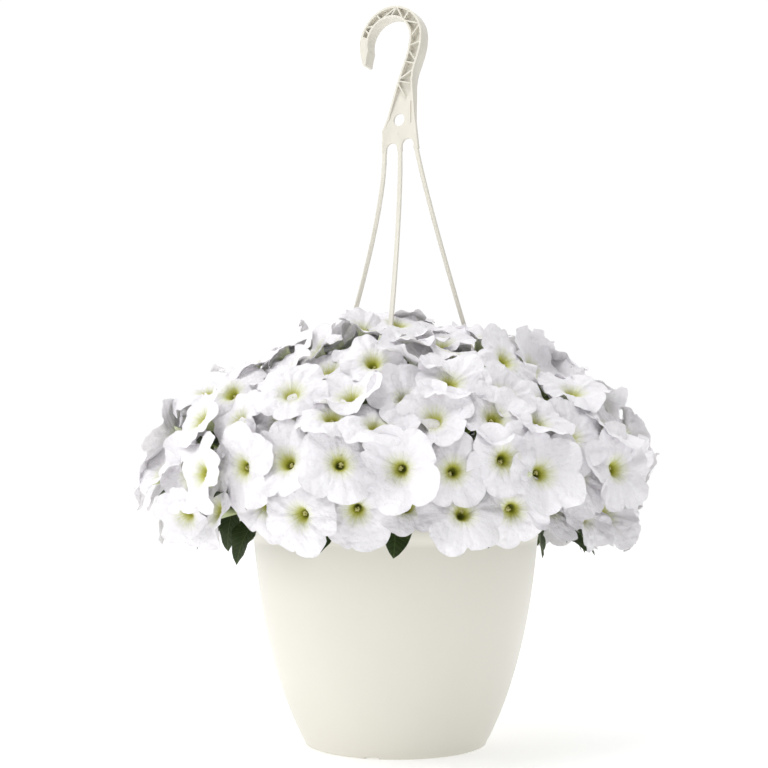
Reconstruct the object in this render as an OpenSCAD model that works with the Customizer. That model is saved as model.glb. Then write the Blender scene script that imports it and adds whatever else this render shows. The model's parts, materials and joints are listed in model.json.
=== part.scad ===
// White trailing petunia in a hanging basket.
// Millimetres, +Z up. The origin is the centre of the pot's underside.
// The pot stands on z = 0 and its rim is a circle about the Z axis.

/* [Pot] */
// Outer radius of the pot where its wall meets the foot
pot_foot_r = 81; // [72:1:90]
// Outer radius of the wall just under the rim band
pot_neck_r = 126.8; // [118:0.2:132]
// Outer radius of the rim band
rim_r = 128.2; // [127:0.2:136]
// Height of the pot to the top of its rim
pot_h = 200; // [190:1:215]
// Height of the rim band
rim_band_h = 19; // [12:1:24]
// Thickness of the moulded wall
wall_t = 1.7; // [1.2:0.1:2.5]
// Number of drain holes in the floor
drain_count = 6; // [3:1:8]
// Radius of one drain hole
drain_r = 4; // [3:0.5:6]

/* [Potting mix] */
// Height of the potting mix where it meets the wall
mix_top = 186; // [170:1:188]
// Gap between the potting mix and the pot's wall
mix_gap = 0.4; // [0.2:0.1:1]

/* [Hanger] */
// Turn of the hook's plane about the vertical
hook_yaw = -30; // [-60:1:60]
// Width of the hook's flanges, front to back
hook_depth = 13.4; // [10:0.2:18]
// Radius of the saddle that rests on a rail or wall hook
saddle_r = 22.5; // [18:0.5:24]
// Radius of the hook's outer edge
crook_r = 32.9; // [30:0.1:36]
// Height of the saddle's centre above the pot's underside
saddle_z = 638.5; // [600:0.5:660]
// Thickness of the hook's web and of its plate
web_t = 2.6; // [2:0.1:4]
// Thickness of the flanges along the hook's two edges
flange_t = 1.9; // [1.4:0.1:3]
// Thickness of the ribs between the flanges
rib_t = 1.2; // [0.8:0.1:2]
// Radius of the hole in the hanger's plate
plate_hole_r = 5.85; // [4:0.05:6.5]
// Width of one strand
strand_w = 4.2; // [3:0.1:6]
// Thickness of one strand
strand_t = 2.6; // [2:0.1:4]
// Compass angles on the rim where the strands clip on
strand_angles = [21, 141, 261];

/* [Flower mound] */
// Radius of the mound of blooms at its widest
mound_r = 221; // [200:1:250]
// Height of the widest part of the mound
mound_waist_z = 234; // [225:1:245]
// Height of the mound's top above its waist
mound_rise = 142; // [120:1:160]
// How pointed the mound's top is; 1 makes it a plain ellipse
mound_peak = 1.4; // [1:0.05:1.5]
// Height of the skirt below the waist
skirt_drop = 56; // [36:1:66]
// How far the skirt draws back in towards the pot
skirt_in = 80; // [60:1:100]
// Distance from one row of blooms to the next
row_gap = 39; // [36:1:56]
// Distance between neighbours in a row
bloom_gap = 42; // [40:1:60]
// Random shift of a bloom along its row, in mm
place_jitter = 6; // [0:1:10]
// Random shift of a bloom across its row, in degrees of the mound
row_jitter = 3; // [0:0.5:5]
// Random turn of a bloom to either side, in degrees
turn_jitter = 13; // [0:1:14]
// Seed of the small random shifts and turns
growth_seed = 15; // [1:1:99]

/* [Blooms and leaves] */
// Radius of the firm middle of a bloom, inside its soft wavy margin
bloom_r = 13; // [12:0.5:17]
// Length of a bloom from its face to the foot of its stalk
bloom_len = 50; // [44:1:60]
// Length of a full-grown leaf
leaf_len = 46; // [30:1:54]
// Width of a full-grown leaf
leaf_w = 23; // [15:1:30]
// Number of unopened buds on each plant
buds_per_plant = 8; // [3:1:10]
// Turn of all buds about the pot, in degrees
bud_shift = 22; // [0:0.5:60]
// Depth of a bud's tip below the mound's surface
bud_depth = 6; // [0:1:20]

/* [Hidden] */
PLANTS = ["a", "b", "c"];
BRANCHES = [for (p = PLANTS) for (n = [1:5]) str(p, n)];
STRANDS = ["right", "left", "front"];

DEG = 57.29578;
IVORY = [0.88, 0.86, 0.80];
LEAF_GREEN = [0.12, 0.18, 0.06];
STEM_GREEN = [0.30, 0.38, 0.14];
PETAL_WHITE = [0.95, 0.95, 0.97];
PEAT_BROWN = [0.16, 0.11, 0.07];

// ---- curves and sweeps ----

function unit(v) = v / norm(v);

function bezier(p, n) = [
    for (i = [0:n])
        let (t = i / n, s = 1 - t)
        s * s * s * p[0] + 3 * s * s * t * p[1] + 3 * s * t * t * p[2] + t * t * t * p[3]
];

// A cubic that bends once, towards the point c
function one_bend(a, c, b) = [a, a + (c - a) * 2 / 3, b + (c - b) * 2 / 3, b];

function tangents(path) = [
    for (i = [0:len(path) - 1])
        unit(path[min(i + 1, len(path) - 1)] - path[max(i - 1, 0)])
];

// The points of a curve moved sideways by d, to the left of its direction
function beside(path, d) = [
    for (i = [0:len(path) - 1])
        let (t = tangents(path)[i])
        path[i] + d * [-t[1], t[0]]
];

function reversed(v) = [for (i = [len(v) - 1:-1:0]) v[i]];

// Side faces and end caps of a sweep with n rings of m points each
function sweep_faces(n, m) = concat(
    [for (i = [0:n - 2]) for (j = [0:m - 1]) [i * m + (j + 1) % m, i * m + j, (i + 1) * m + j]],
    [for (i = [0:n - 2]) for (j = [0:m - 1])
        [i * m + (j + 1) % m, (i + 1) * m + j, (i + 1) * m + (j + 1) % m]],
    [[for (j = [0:m - 1]) j]],
    [[for (j = [m - 1:-1:0]) (n - 1) * m + j]]
);

// A round tube along path that tapers from r0 to r1; side is across the path
module tube(path, r0, r1, side, m = 6) {
    n = len(path);
    t = tangents(path);
    points = [
        for (i = [0:n - 1])
            let (
                w = unit(side - (side * t[i]) * t[i]),
                up = cross(t[i], w),
                r = r0 + (r1 - r0) * i / (n - 1)
            )
            for (j = [0:m - 1])
                path[i] + r * (cos(360 * j / m) * w + sin(360 * j / m) * up)
    ];
    polyhedron(points, sweep_faces(n, m), convexity = 4);
}

// ---- pot ----

band_z = pot_h - rim_band_h;
wall_curve = bezier([[pot_foot_r, 4], [101, 40], [119.5, 98], [pot_neck_r, band_z]], 18);
floor_z = 3;
floor_top = floor_z + wall_t;

function inside(d) = [for (p = wall_curve) if (p[1] > floor_top + 2) [p[0] - d, p[1]]];

module pot() color(IVORY) {
    difference() {
        rotate_extrude($fn = 180) polygon(concat(
            [[0, floor_z], [64, floor_z], [66, 0], [pot_foot_r - 4, 0], [pot_foot_r - 1.2, 1.2]],
            wall_curve,
            [[rim_r - 0.3, band_z + 0.8], [rim_r, pot_h - 2.2], [rim_r - 0.5, pot_h - 0.6]],
            [[rim_r - 1.2, pot_h], [rim_r - 1.9, pot_h - 0.7], [rim_r - 2, band_z + 2]],
            reversed(inside(wall_t)),
            [[pot_foot_r - 2.4, floor_top + 1.5], [pot_foot_r - 5, floor_top], [0, floor_top]]
        ));
        drain_holes();
        foot_notches();
    }
}

module drain_holes() {
    for (i = [0:drain_count - 1])
        rotate([0, 0, 360 * (i + 0.5) / drain_count])
            translate([50, 0, -1]) cylinder(h = floor_top + 3, r = drain_r, $fn = 48);
}

// Shallow ways out for the water, across the ring that the pot stands on
module foot_notches() {
    for (i = [0:2])
        rotate([0, 0, 255 + 120 * i])
            translate([60, -6, -1]) cube([30, 12, 2.8]);
}

// ---- potting mix and the three plants' crowns ----

plug_h = 46;
plug_r = 24;
crown_ring_r = 62;

function crown_angle(p) = 60 + 120 * p;
function crown_top(p) = [
    crown_ring_r * cos(crown_angle(p)),
    crown_ring_r * sin(crown_angle(p)),
    mix_top + 16
];

module potting_mix() color(PEAT_BROWN) {
    curve = inside(wall_t + mix_gap);
    difference() {
        rotate_extrude($fn = 120) polygon(concat(
            [[0, floor_top], [pot_foot_r - 6, floor_top]],
            [for (p = curve) if (p[1] < mix_top - 1) p],
            [[rim_r - 2.6, mix_top], [100, mix_top + 2], [0, mix_top + 2]]
        ));
        for (p = [0:2])
            rotate([0, 0, crown_angle(p)])
                translate([crown_ring_r, 0, mix_top - plug_h])
                    cylinder(h = plug_h + 4, r1 = plug_r - 3.7, r2 = plug_r + 0.6, $fn = 64);
    }
}

// Root plug, with the woody crown that the branches grow from
module crown(p) color(PEAT_BROWN) {
    rotate([0, 0, crown_angle(p)])
        translate([crown_ring_r, 0, mix_top - plug_h + 0.3]) rotate_extrude($fn = 64) polygon([
            [0, 0], [plug_r - 4, 0], [plug_r, plug_h], [plug_r - 3, plug_h + 2.5],
            [9, plug_h + 4], [6.5, plug_h + 9], [7, plug_h + 15], [4, plug_h + 18], [0, plug_h + 18]
        ]);
}

// ---- hanger ----

hook_at = [3.7, -2.1];
saddle_x = -7.8;
crook_x = -5.8;
stub_z = 534;
taper_top = 612;

// The hook's two edges below the crook, from the crook down to the plate
outer_edge = concat(
    bezier([[crook_x + crook_r, saddle_z], [26.8, 619], [17, 612], [16.4, 594]], 8),
    [[17.4, 562], [20.6, stub_z]]
);
inner_edge = concat(
    bezier([[saddle_x + saddle_r - 1.2, saddle_z - 4], [14.4, 622], [3, 606], [-3.8, 586]], 8),
    [[-11.5, 566], [-17.6, 555], [-17.8, stub_z]]
);
tip_edge = bezier([[crook_x - crook_r, saddle_z], [-39, 633], [-37, 626], [-35.2, 619.5]], 4);
tip_inner = bezier([[saddle_x - saddle_r + 1.2, saddle_z - 4], [-31, 630], [-31.6, 626], [-32.8, 619.5]], 4);

// Ribs on the crook, each from an angle on its outer edge to one on its saddle
crook_ribs = [[150, 154], [146, 132], [118, 112], [78, 112], [78, 84], [78, 50],
    [52, 48], [20, 46], [18, 0]];
// Ribs on the shank, each from an outer point to an inner one
shank_ribs = [[[27, 633], [13, 630]], [[21, 614], [12.6, 627]],
    [[20.4, 612], [7, 617]], [[18, 607], [2, 600]], [[14, 595], [1.6, 599]], [[8, 584], [0.6, 598]]];

module in_hook_plane()
    translate([hook_at[0], hook_at[1], 0]) rotate([0, 0, hook_yaw]) rotate([90, 0, 0]) children();

module slab(t) linear_extrude(height = t, center = true) children();

function crook_arc(r, a0, a1) = [
    for (i = [0:32])
        let (a = a0 + (a1 - a0) * i / 32)
        [crook_x + r * cos(a), saddle_z + r * sin(a)]
];

module saddle_cylinder(r, t)
    translate([saddle_x, saddle_z, 0]) cylinder(h = t, r = r, center = true, $fn = 160);

module hook_outline(t) {
    difference() {
        slab(t) polygon(concat(
            reversed(outer_edge), crook_arc(crook_r, 5, 175), tip_edge, reversed(tip_inner), inner_edge
        ));
        saddle_cylinder(saddle_r, t + 2);
    }
}

// The flanges lose their depth on the way down to the flat plate
module taper_prism() {
    h = hook_depth / 2;
    t = web_t / 2 + 0.15;
    translate([-60, 0, 0]) rotate([90, 0, 90]) linear_extrude(height = 120) polygon([
        [700, -h], [700, h], [taper_top, h], [556, t], [530, t], [530, -t], [556, -t], [taper_top, -h]
    ]);
}

module rib(a, b) {
    d = b - a;
    translate([a[0], a[1], 0]) rotate([0, 0, atan2(d[1], d[0])])
        translate([0, -rib_t / 2, -hook_depth / 2 + 0.4]) cube([norm(d), rib_t, hook_depth - 0.8]);
}

module ribs() {
    for (r = crook_ribs)
        rib(
            [crook_x, saddle_z] + (crook_r - 1) * [cos(r[0]), sin(r[0])],
            [saddle_x, saddle_z] + (saddle_r + 1) * [cos(r[1]), sin(r[1])]
        );
    for (r = shank_ribs) rib(r[0], r[1]);
}

// What is taken out between the flanges, down to the web, on both faces
module pockets() {
    outer = beside(outer_edge, -flange_t);
    inner = beside(inner_edge, flange_t);
    low = stub_z - 4;
    difference() {
        slab(hook_depth + 4) polygon(concat(
            [[outer[len(outer) - 1][0], low]],
            reversed(outer),
            crook_arc(crook_r - flange_t, 6, 163),
            [[saddle_x - 21.5, saddle_z + 6], [saddle_x, saddle_z - 8]],
            inner,
            [[inner[len(inner) - 1][0], low]]
        ));
        saddle_cylinder(saddle_r + flange_t, hook_depth + 8);
        translate([-60, 500, -web_t / 2]) cube([120, 200, web_t]);
        ribs();
    }
}

module plate_cuts() {
    translate([0.4, 563.5, 0]) cylinder(h = 20, r = plate_hole_r, center = true, $fn = 64);
    arch(-7.6, 536.6, 5.9);
    arch(9.3, 538.4, 6.2);
}

module arch(x, z, r) {
    translate([x, z, 0]) cylinder(h = 20, r = r, center = true, $fn = 64);
    translate([x - r, z - 30, -10]) cube([2 * r, 30, 20]);
}

module plate_marks() {
    translate([11.4, 559, 0]) cube([1.6, 20, web_t / 2 + 1]);
    translate([-0.6, 550.5, 0]) cylinder(h = web_t / 2 + 0.5, r = 0.9, $fn = 32);
}

module hanger_hook() color(IVORY) {
    in_hook_plane() difference() {
        union() {
            difference() {
                intersection() {
                    hook_outline(hook_depth);
                    taper_prism();
                }
                pockets();
            }
            plate_marks();
        }
        plate_cuts();
    }
}

// Where each strand leaves the plate, along the hook's plane: right, left, front
strand_x = [18.1, -15.6, 0.95];
// How far each strand leans out before it bends down to the rim
strand_lean = [[17, 5], [0, 1], [1, -2]];
// Direction of each strand's width where it clips to the rim
strand_turn = [-69, 51, -9];

function strand_path(i) =
    let (
        top = [hook_at[0] + strand_x[i] * cos(hook_yaw), hook_at[1] + strand_x[i] * sin(hook_yaw), stub_z],
        bend = [top[0] + strand_lean[i][0], top[1] + strand_lean[i][1], 450],
        a = strand_angles[i],
        foot = [(rim_r - 1) * cos(a), (rim_r - 1) * sin(a), pot_h + 2.4]
    )
    bezier(one_bend(top, bend, foot), 20);

module strand_bar(i) {
    path = strand_path(i);
    n = len(path);
    t = tangents(path);
    w = strand_w / 2;
    h = strand_t / 2;
    c = 0.6;
    outline = [
        [w, -h + c], [w, h - c], [w - c, h], [c - w, h],
        [-w, h - c], [-w, c - h], [c - w, -h], [w - c, -h]
    ];
    points = [
        for (k = [0:n - 1])
            let (
                a = hook_yaw + (strand_turn[i] - hook_yaw) * k / (n - 1),
                flat = [cos(a), sin(a), 0],
                down = k == 0 ? [0, 0, -1] : t[k],
                across = unit(flat - (flat * down) * down),
                out = cross(down, across)
            )
            for (q = outline) path[k] + q[0] * across + q[1] * out
    ];
    polyhedron(points, sweep_faces(n, 8), convexity = 4);
}

// A U-shaped clip that hooks over the rim
module rim_clip(a) {
    rotate([0, 0, a]) {
        translate([rim_r - 4.4, -7, pot_h + 0.2]) cube([6.6, 14, 2.4]);
        translate([rim_r - 4.4, -7, pot_h - 11]) cube([1.8, 14, 12]);
        translate([rim_r + 0.4, -7, pot_h - 13]) cube([1.8, 14, 14]);
    }
}

module hanger_strand(i) color(IVORY) {
    strand_bar(i);
    rim_clip(strand_angles[i]);
}

// ---- the mound: rows of blooms over a rounded surface ----
// phi is 0 at the top, 90 at the waist and more than 90 under the skirt.

last_phi = 136;

function mound_point(phi) = phi <= 90
    ? [mound_r * sign(phi) * pow(abs(sin(phi)), mound_peak), mound_waist_z + mound_rise * cos(phi)]
    : [mound_r - skirt_in + skirt_in * sin(phi), mound_waist_z + skirt_drop * cos(phi)];
// The way along the mound's outline for one degree of phi
function mound_run(phi) = mound_point(phi + 0.5) - mound_point(phi - 0.5);
// How far the mound's surface faces up, in degrees
function mound_slope(phi) = atan2(mound_run(phi)[0], -mound_run(phi)[1]);

// The place on the outline that is one row's distance below phi
function next_row(phi) = min([
    for (q = [phi + 1:0.5:phi + 70]) if (norm(mound_point(q) - mound_point(phi)) >= row_gap) q
]);
function row_angles(phi) = phi > last_phi ? [] : concat([phi], row_angles(next_row(phi)));

rows = row_angles(0);
function row_count(k) = max(1, round(2 * PI * mound_point(rows[k])[0] / bloom_gap));

// A repeatable random number from -1 to 1 for place j of row k
function chance(kind, k, j) =
    rands(-1, 1, 3, 90000 * growth_seed + 7000 * kind + 131 * k + j)[2];

// Angle about the vertical of place j in row k
function place_angle(k, j) =
    360 * (j + 0.5 * (k % 2) + 0.17 * k) / row_count(k)
    + DEG * place_jitter * chance(1, k, j) / max(40, mound_point(rows[k])[0]);

function wrapped(a) = a - 360 * floor(a / 360);

function direction(angle, rise) = [cos(rise) * cos(angle), cos(rise) * sin(angle), sin(rise)];

// A bloom is [centre of its face, angle, rise, size]
function bloom_at(k, j) =
    let (
        phi = rows[k] + (k == 0 ? 0 : row_jitter * chance(2, k, j)),
        a = place_angle(k, j),
        p = mound_point(phi),
        rise = max(-2, 0.86 * mound_slope(phi) + 6) + turn_jitter * chance(3, k, j),
        sink = 1 + 6 * ((j + 2 * k) % 3) + 2 * chance(4, k, j),
        n = direction(a, mound_slope(phi))
    )
    [
        [p[0] * cos(a), p[0] * sin(a), p[1]] - sink * n,
        a + turn_jitter * chance(5, k, j),
        k == 0 ? 80 : rise,
        1 + 0.1 * chance(6, k, j)
    ];

function stalk_foot(b) = b[0] - bloom_len * direction(b[1], b[2]);

// The upright branch of each plant carries the top rows; the other four trail
top_rows = 2;
function plant_of(a) = floor(wrapped(a) / 120);
function sector_of(a) = floor(wrapped(a) / 30);
function branch_of(k, a) = k <= top_rows ? 5 * plant_of(a) : 5 * plant_of(a) + 1 + sector_of(a) % 4;

function places(branch) = [
    for (k = [0:len(rows) - 1])
        for (j = [0:row_count(k) - 1])
            if (branch_of(k, place_angle(k, j)) == branch) [k, j]
];

// ---- branches ----

function is_upright(branch) = branch % 5 == 0;
function branch_plant(branch) = floor(branch / 5);
function branch_angle(branch) = is_upright(branch)
    ? crown_angle(branch_plant(branch))
    : 120 * branch_plant(branch) + 30 * (branch % 5 - 1) + 15;

function upright_path(branch) =
    let (c = crown_top(branch_plant(branch)), flat = [c[0], c[1], 0])
    bezier([c - [0, 0, 1], c + [0, 0, 60], 0.8 * flat + [0, 0, 290], 0.35 * flat + [0, 0, 322]], 9);

function trailing_path(branch) =
    let (
        c = crown_top(branch_plant(branch)),
        a = branch_angle(branch),
        out = [cos(a), sin(a), 0],
        start = c + 3 * out - [0, 0, 1]
    )
    bezier([start, start + 25 * out + [0, 0, 150], 205 * out + [0, 0, 318], 176 * out + [0, 0, 205]], 14);

function branch_path(branch) = is_upright(branch) ? upright_path(branch) : trailing_path(branch);

// The point of a path that is nearest to p
function nearest(path, p) =
    let (gaps = [for (q = path) norm(q - p)], best = min(gaps))
    [for (i = [0:len(path) - 1]) if (gaps[i] == best) path[i]][0];

module branch_stem(branch) color(STEM_GREEN) {
    path = branch_path(branch);
    a = branch_angle(branch);
    across = [-sin(a), cos(a), 0];
    tube(path, 2.6, 1.5, across);
    for (q = places(branch)) {
        foot = stalk_foot(bloom_at(q[0], q[1]));
        joint = nearest(path, foot);
        if (norm(foot - joint) > 4)
            tube([joint, foot], 1.3, 1.0, cross(foot - joint, [0.3, 0.5, 0.8]));
    }
}

// A thin pointed oval plate from the origin along +X
module leaf_plate(length, width) {
    r = (length * length + width * width) / (4 * width);
    linear_extrude(height = 0.8) intersection() {
        translate([length / 2, width / 2 - r]) circle(r, $fn = 96);
        translate([length / 2, r - width / 2]) circle(r, $fn = 96);
    }
}

// A leaf grows where each bloom's stalk starts, to one side or the other
module branch_leaves(branch) color(LEAF_GREEN) {
    for (q = places(branch)) {
        b = bloom_at(q[0], q[1]);
        side = 2 * (q[1] % 2) - 1;
        size = 1 + 0.14 * chance(8, q[0], q[1]);
        turn = 4 * side + 6 * chance(23, q[0], q[1]);
        droop = (rows[q[0]] > 95 ? 52 : 22) + 10 * chance(33, q[0], q[1]);
        translate(stalk_foot(b) + 1.8 * side * direction(b[1] + 90, 0))
            rotate([0, 0, b[1] + turn])
                rotate([0, droop - b[2], 0])
                    rotate([12 * side + 8 * chance(15, q[0], q[1]), 0, 0])
                        leaf_plate(leaf_len * size, leaf_w * size);
    }
}

// Stalk, calyx, tube and the firm middle of the limb, turned about the bloom's axis
module bloom(r) {
    rotate_extrude($fn = 32) polygon([
        [0, -bloom_len], [1, -bloom_len], [1, -35], [2.8, -34], [2.4, -26], [4, -11],
        [8, -5], [r, -1.6], [r, 0], [7, -2.6], [2.4, -11], [0, -11]
    ]);
}

module branch_blooms(branch) color(PETAL_WHITE) {
    for (q = places(branch)) {
        b = bloom_at(q[0], q[1]);
        translate(b[0]) rotate([0, 90 - b[2], b[1]]) bloom(bloom_r * b[3]);
    }
}

// ---- buds ----

module bud() {
    rotate_extrude($fn = 24) polygon([
        [0, -bloom_len], [0.9, -bloom_len], [0.9, -29], [2.6, -27], [2.1, -18], [3, -8], [2.2, -2], [0, 0]
    ]);
}

// A bud is [its tip, angle, rise]
function bud_at(p, i) =
    let (
        phi = 34 + 78 * i / buds_per_plant,
        a = 120 * (p + wrapped(360 * i * 0.382) / 360) + bud_shift,
        m = mound_point(phi),
        slope = mound_slope(phi)
    )
    [
        [m[0] * cos(a), m[0] * sin(a), m[1]] - bud_depth * direction(a, slope),
        a,
        max(-10, 0.8 * slope + 12 * chance(10, p, i))
    ];

module plant_buds(p) color(PETAL_WHITE) {
    for (i = [0:buds_per_plant - 1]) {
        b = bud_at(p, i);
        translate(b[0]) rotate([0, 90 - b[2], b[1]]) bud();
    }
}

// ---- assembly ----

pot();
potting_mix();
hanger_hook();
for (i = [0:2]) {
    hanger_strand(i);
    crown(i);
    plant_buds(i);
}
for (i = [0:14]) {
    branch_stem(i);
    branch_leaves(i);
    branch_blooms(i);
}
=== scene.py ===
# %% [markdown]
# # White trailing petunia in a hanging basket
#
# The object is an ivory pot full of potting mix, three petunia plants whose branches make one
# round mound of white blooms, and a moulded hanger with a hook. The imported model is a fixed
# frame: it says where every piece is. This lesson gives each piece its real surface.

# %% Load the frame
import json
import math
import random

import bmesh
import bpy
import numpy as np
from mathutils import Matrix, Vector
from mathutils import noise as blender_noise

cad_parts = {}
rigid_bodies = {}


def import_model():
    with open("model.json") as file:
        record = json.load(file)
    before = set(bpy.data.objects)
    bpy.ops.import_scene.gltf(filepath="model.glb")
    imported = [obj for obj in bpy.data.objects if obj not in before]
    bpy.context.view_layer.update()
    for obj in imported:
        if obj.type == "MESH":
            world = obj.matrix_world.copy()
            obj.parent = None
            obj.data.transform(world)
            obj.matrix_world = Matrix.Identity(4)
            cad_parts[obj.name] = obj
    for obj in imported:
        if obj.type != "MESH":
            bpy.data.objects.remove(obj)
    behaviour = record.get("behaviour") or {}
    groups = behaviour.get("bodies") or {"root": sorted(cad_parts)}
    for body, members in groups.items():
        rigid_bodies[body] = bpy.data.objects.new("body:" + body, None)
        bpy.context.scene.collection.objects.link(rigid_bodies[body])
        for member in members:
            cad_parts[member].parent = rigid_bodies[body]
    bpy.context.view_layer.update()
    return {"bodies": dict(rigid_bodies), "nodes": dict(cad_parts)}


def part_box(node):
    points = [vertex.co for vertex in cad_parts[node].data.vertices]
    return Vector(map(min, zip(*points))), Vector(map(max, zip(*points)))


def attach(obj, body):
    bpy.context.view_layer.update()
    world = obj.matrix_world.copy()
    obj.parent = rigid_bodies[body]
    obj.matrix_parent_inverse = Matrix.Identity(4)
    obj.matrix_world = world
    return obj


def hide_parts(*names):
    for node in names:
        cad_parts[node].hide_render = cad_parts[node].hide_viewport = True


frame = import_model()
nodes = frame["nodes"]
BODY = next(iter(frame["bodies"]))
MM = 0.001

# %% [markdown]
# ## Shader and geometry maths as plain expressions
#
# A node tree is only arithmetic. Placing Math nodes one by one hides that, so a wire (one output
# socket) is wrapped in a small class whose operators add the Math node for us. `bench` wraps a
# tree, and its single method `add` makes any other node.

# %% A wire that adds Math nodes
class Wire:
    """One output socket. An expression on wires adds the nodes that work it out."""

    def __init__(self, bench, socket):
        self.bench, self.socket = bench, socket

    def math(self, operation, *values):
        return self.bench.add("ShaderNodeMath", {"operation": operation}, dict(enumerate(values)))

    def __add__(self, other):
        return self.math("ADD", self, other)

    def __radd__(self, other):
        return self.math("ADD", other, self)

    def __sub__(self, other):
        return self.math("SUBTRACT", self, other)

    def __rsub__(self, other):
        return self.math("SUBTRACT", other, self)

    def __mul__(self, other):
        return self.math("MULTIPLY", self, other)

    def __rmul__(self, other):
        return self.math("MULTIPLY", other, self)

    def __truediv__(self, other):
        return self.math("DIVIDE", self, other)

    def __rtruediv__(self, other):
        return self.math("DIVIDE", other, self)

    def __pow__(self, other):
        return self.math("POWER", self, other)

    def __abs__(self):
        return self.math("ABSOLUTE", self)


class Bench:
    """A node tree to work on."""

    def __init__(self, tree):
        self.tree = tree
        self.count = 0

    def add(self, kind, settings=None, inputs=None, out=0):
        node = self.tree.nodes.new(kind)
        node.location = (180 * (self.count % 40), -220 * (self.count // 40))
        self.count += 1
        for name, value in (settings or {}).items():
            setattr(node, name, value)
        for key, value in (inputs or {}).items():
            socket = node.inputs[key]
            if isinstance(value, Wire):
                self.tree.links.new(value.socket, socket)
            else:
                socket.default_value = value
        return Wire(self, node.outputs[out]) if len(node.outputs) else node


def sine(x):
    return x.math("SINE", x)


def cosine(x):
    return x.math("COSINE", x)


def larger(x, y):
    return x.math("MAXIMUM", x, y)


def smaller(x, y):
    return x.math("MINIMUM", x, y)


def ease(x, low, high):
    """0 below low, 1 above high, and smooth between. low may be the larger one."""
    return x.bench.add("ShaderNodeMapRange", {"interpolation_type": "SMOOTHSTEP"},
                       {0: x, 1: low, 2: high, 3: 0.0, 4: 1.0})


def vector(bench, x, y, z):
    return bench.add("ShaderNodeCombineXYZ", {}, {0: x, 1: y, 2: z})


def split(wire):
    node = wire.bench.tree.nodes.new("ShaderNodeSeparateXYZ")
    wire.bench.tree.links.new(wire.socket, node.inputs[0])
    return [Wire(wire.bench, o) for o in node.outputs]


def vector_math(operation, *values, out=0):
    bench = next(v.bench for v in values if isinstance(v, Wire))
    return bench.add("ShaderNodeVectorMath", {"operation": operation}, dict(enumerate(values)), out)


def noise(bench, place, scale, detail=2.0, rough=0.5):
    """Noise from 0 to 1 at a place."""
    return bench.add("ShaderNodeTexNoise", {},
                     {"Vector": place, "Scale": scale, "Detail": detail, "Roughness": rough})


print("wires and benches ready")

# %% [markdown]
# ## Geometry Nodes trees
#
# Everything that repeats is grown by a Geometry Nodes tree: one point a piece goes in, carrying
# its own turn, size and seed, and the finished pieces come out. The tree is made here in the
# script, run once, and baked to a plain mesh.

# %% Make a tree with named inputs, and run it on a cloud of points
def new_tree(name, inputs):
    """A geometry tree, its bench, its incoming geometry and its named inputs as wires."""
    tree = bpy.data.node_groups.new(name, "GeometryNodeTree")
    tree.interface.new_socket("Points", in_out="INPUT", socket_type="NodeSocketGeometry")
    tree.interface.new_socket("Pieces", in_out="OUTPUT", socket_type="NodeSocketGeometry")
    for label, kind, value in inputs:
        socket = tree.interface.new_socket(label, in_out="INPUT", socket_type=kind)
        if value is not None:
            socket.default_value = value
    bench = Bench(tree)
    node = tree.nodes.new("NodeGroupInput")
    wires = {o.name: Wire(bench, o) for o in node.outputs if o.name}
    return tree, bench, wires


def grid_inputs(around, along, skin, material):
    """The inputs of a tree that bends one grid per piece: its two counts and its material."""
    return [("Around", "NodeSocketInt", around), ("Along", "NodeSocketInt", along),
            (skin, "NodeSocketMaterial", material)]


def end_tree(bench, geometry):
    node = bench.tree.nodes.new("NodeGroupOutput")
    bench.tree.links.new(geometry.socket, node.inputs[0])


def attribute(bench, name, kind="FLOAT"):
    return bench.add("GeometryNodeInputNamedAttribute", {"data_type": kind}, {"Name": name})


def keep(bench, geometry, name, value, kind="FLOAT"):
    """Stores a value on each point under a name."""
    return bench.add("GeometryNodeStoreNamedAttribute", {"data_type": kind, "domain": "POINT"},
                     {"Geometry": geometry, "Name": name, "Value": value})


def cloud(name, places, **values):
    """A mesh of bare points with an attribute for each named list of values."""
    mesh = bpy.data.meshes.new(name)
    mesh.from_pydata([tuple(p) for p in places], [], [])
    for key, column in values.items():
        flat = np.asarray(column, np.float32)
        if flat.ndim == 1:
            layer = mesh.attributes.new(key, "FLOAT", "POINT")
            layer.data.foreach_set("value", flat)
        elif flat.shape[1] == 4:
            layer = mesh.attributes.new(key, "QUATERNION", "POINT")
            layer.data.foreach_set("value", flat.ravel())
        else:
            layer = mesh.attributes.new(key, "FLOAT_VECTOR", "POINT")
            layer.data.foreach_set("vector", flat.ravel())
    return mesh


def grow(name, tree, mesh, **inputs):
    """Runs a tree on a cloud and returns the plain mesh that it makes."""
    source = bpy.data.objects.new(name + "_source", mesh)
    bpy.context.scene.collection.objects.link(source)
    modifier = source.modifiers.new("grow", "NODES")
    modifier.node_group = tree
    sockets = {s.name: s.identifier for s in tree.interface.items_tree if s.in_out == "INPUT"}
    for label, value in inputs.items():
        modifier[sockets[label.replace("_", " ")]] = value
    bpy.context.view_layer.update()
    graph = bpy.context.evaluated_depsgraph_get()
    baked = bpy.data.meshes.new_from_object(source.evaluated_get(graph))
    baked.name = name
    bpy.data.objects.remove(source)
    return baked


def grid_of(bench, around, along):
    """A flat grid whose points know how far round (u) and how far along (v) they are."""
    grid = bench.add("GeometryNodeMeshGrid", {},
                     {"Size X": 1.0, "Size Y": 1.0, "Vertices X": around + 1, "Vertices Y": along})
    place = split(bench.add("GeometryNodeInputPosition"))
    grid = keep(bench, grid, "u", place[0] + 0.5)
    return keep(bench, grid, "v", place[1] + 0.5)


def one_grid_each(bench, points, grid):
    """One grid on every point; each grid's points know the place of the point they came from."""
    points = keep(bench, points, "place", bench.add("GeometryNodeInputPosition"), "FLOAT_VECTOR")
    copies = bench.add("GeometryNodeInstanceOnPoints", {}, {"Points": points, "Instance": grid})
    return bench.add("GeometryNodeRealizeInstances", {}, {"Geometry": copies})


MARGIN_FOLD = math.radians(75)


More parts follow.
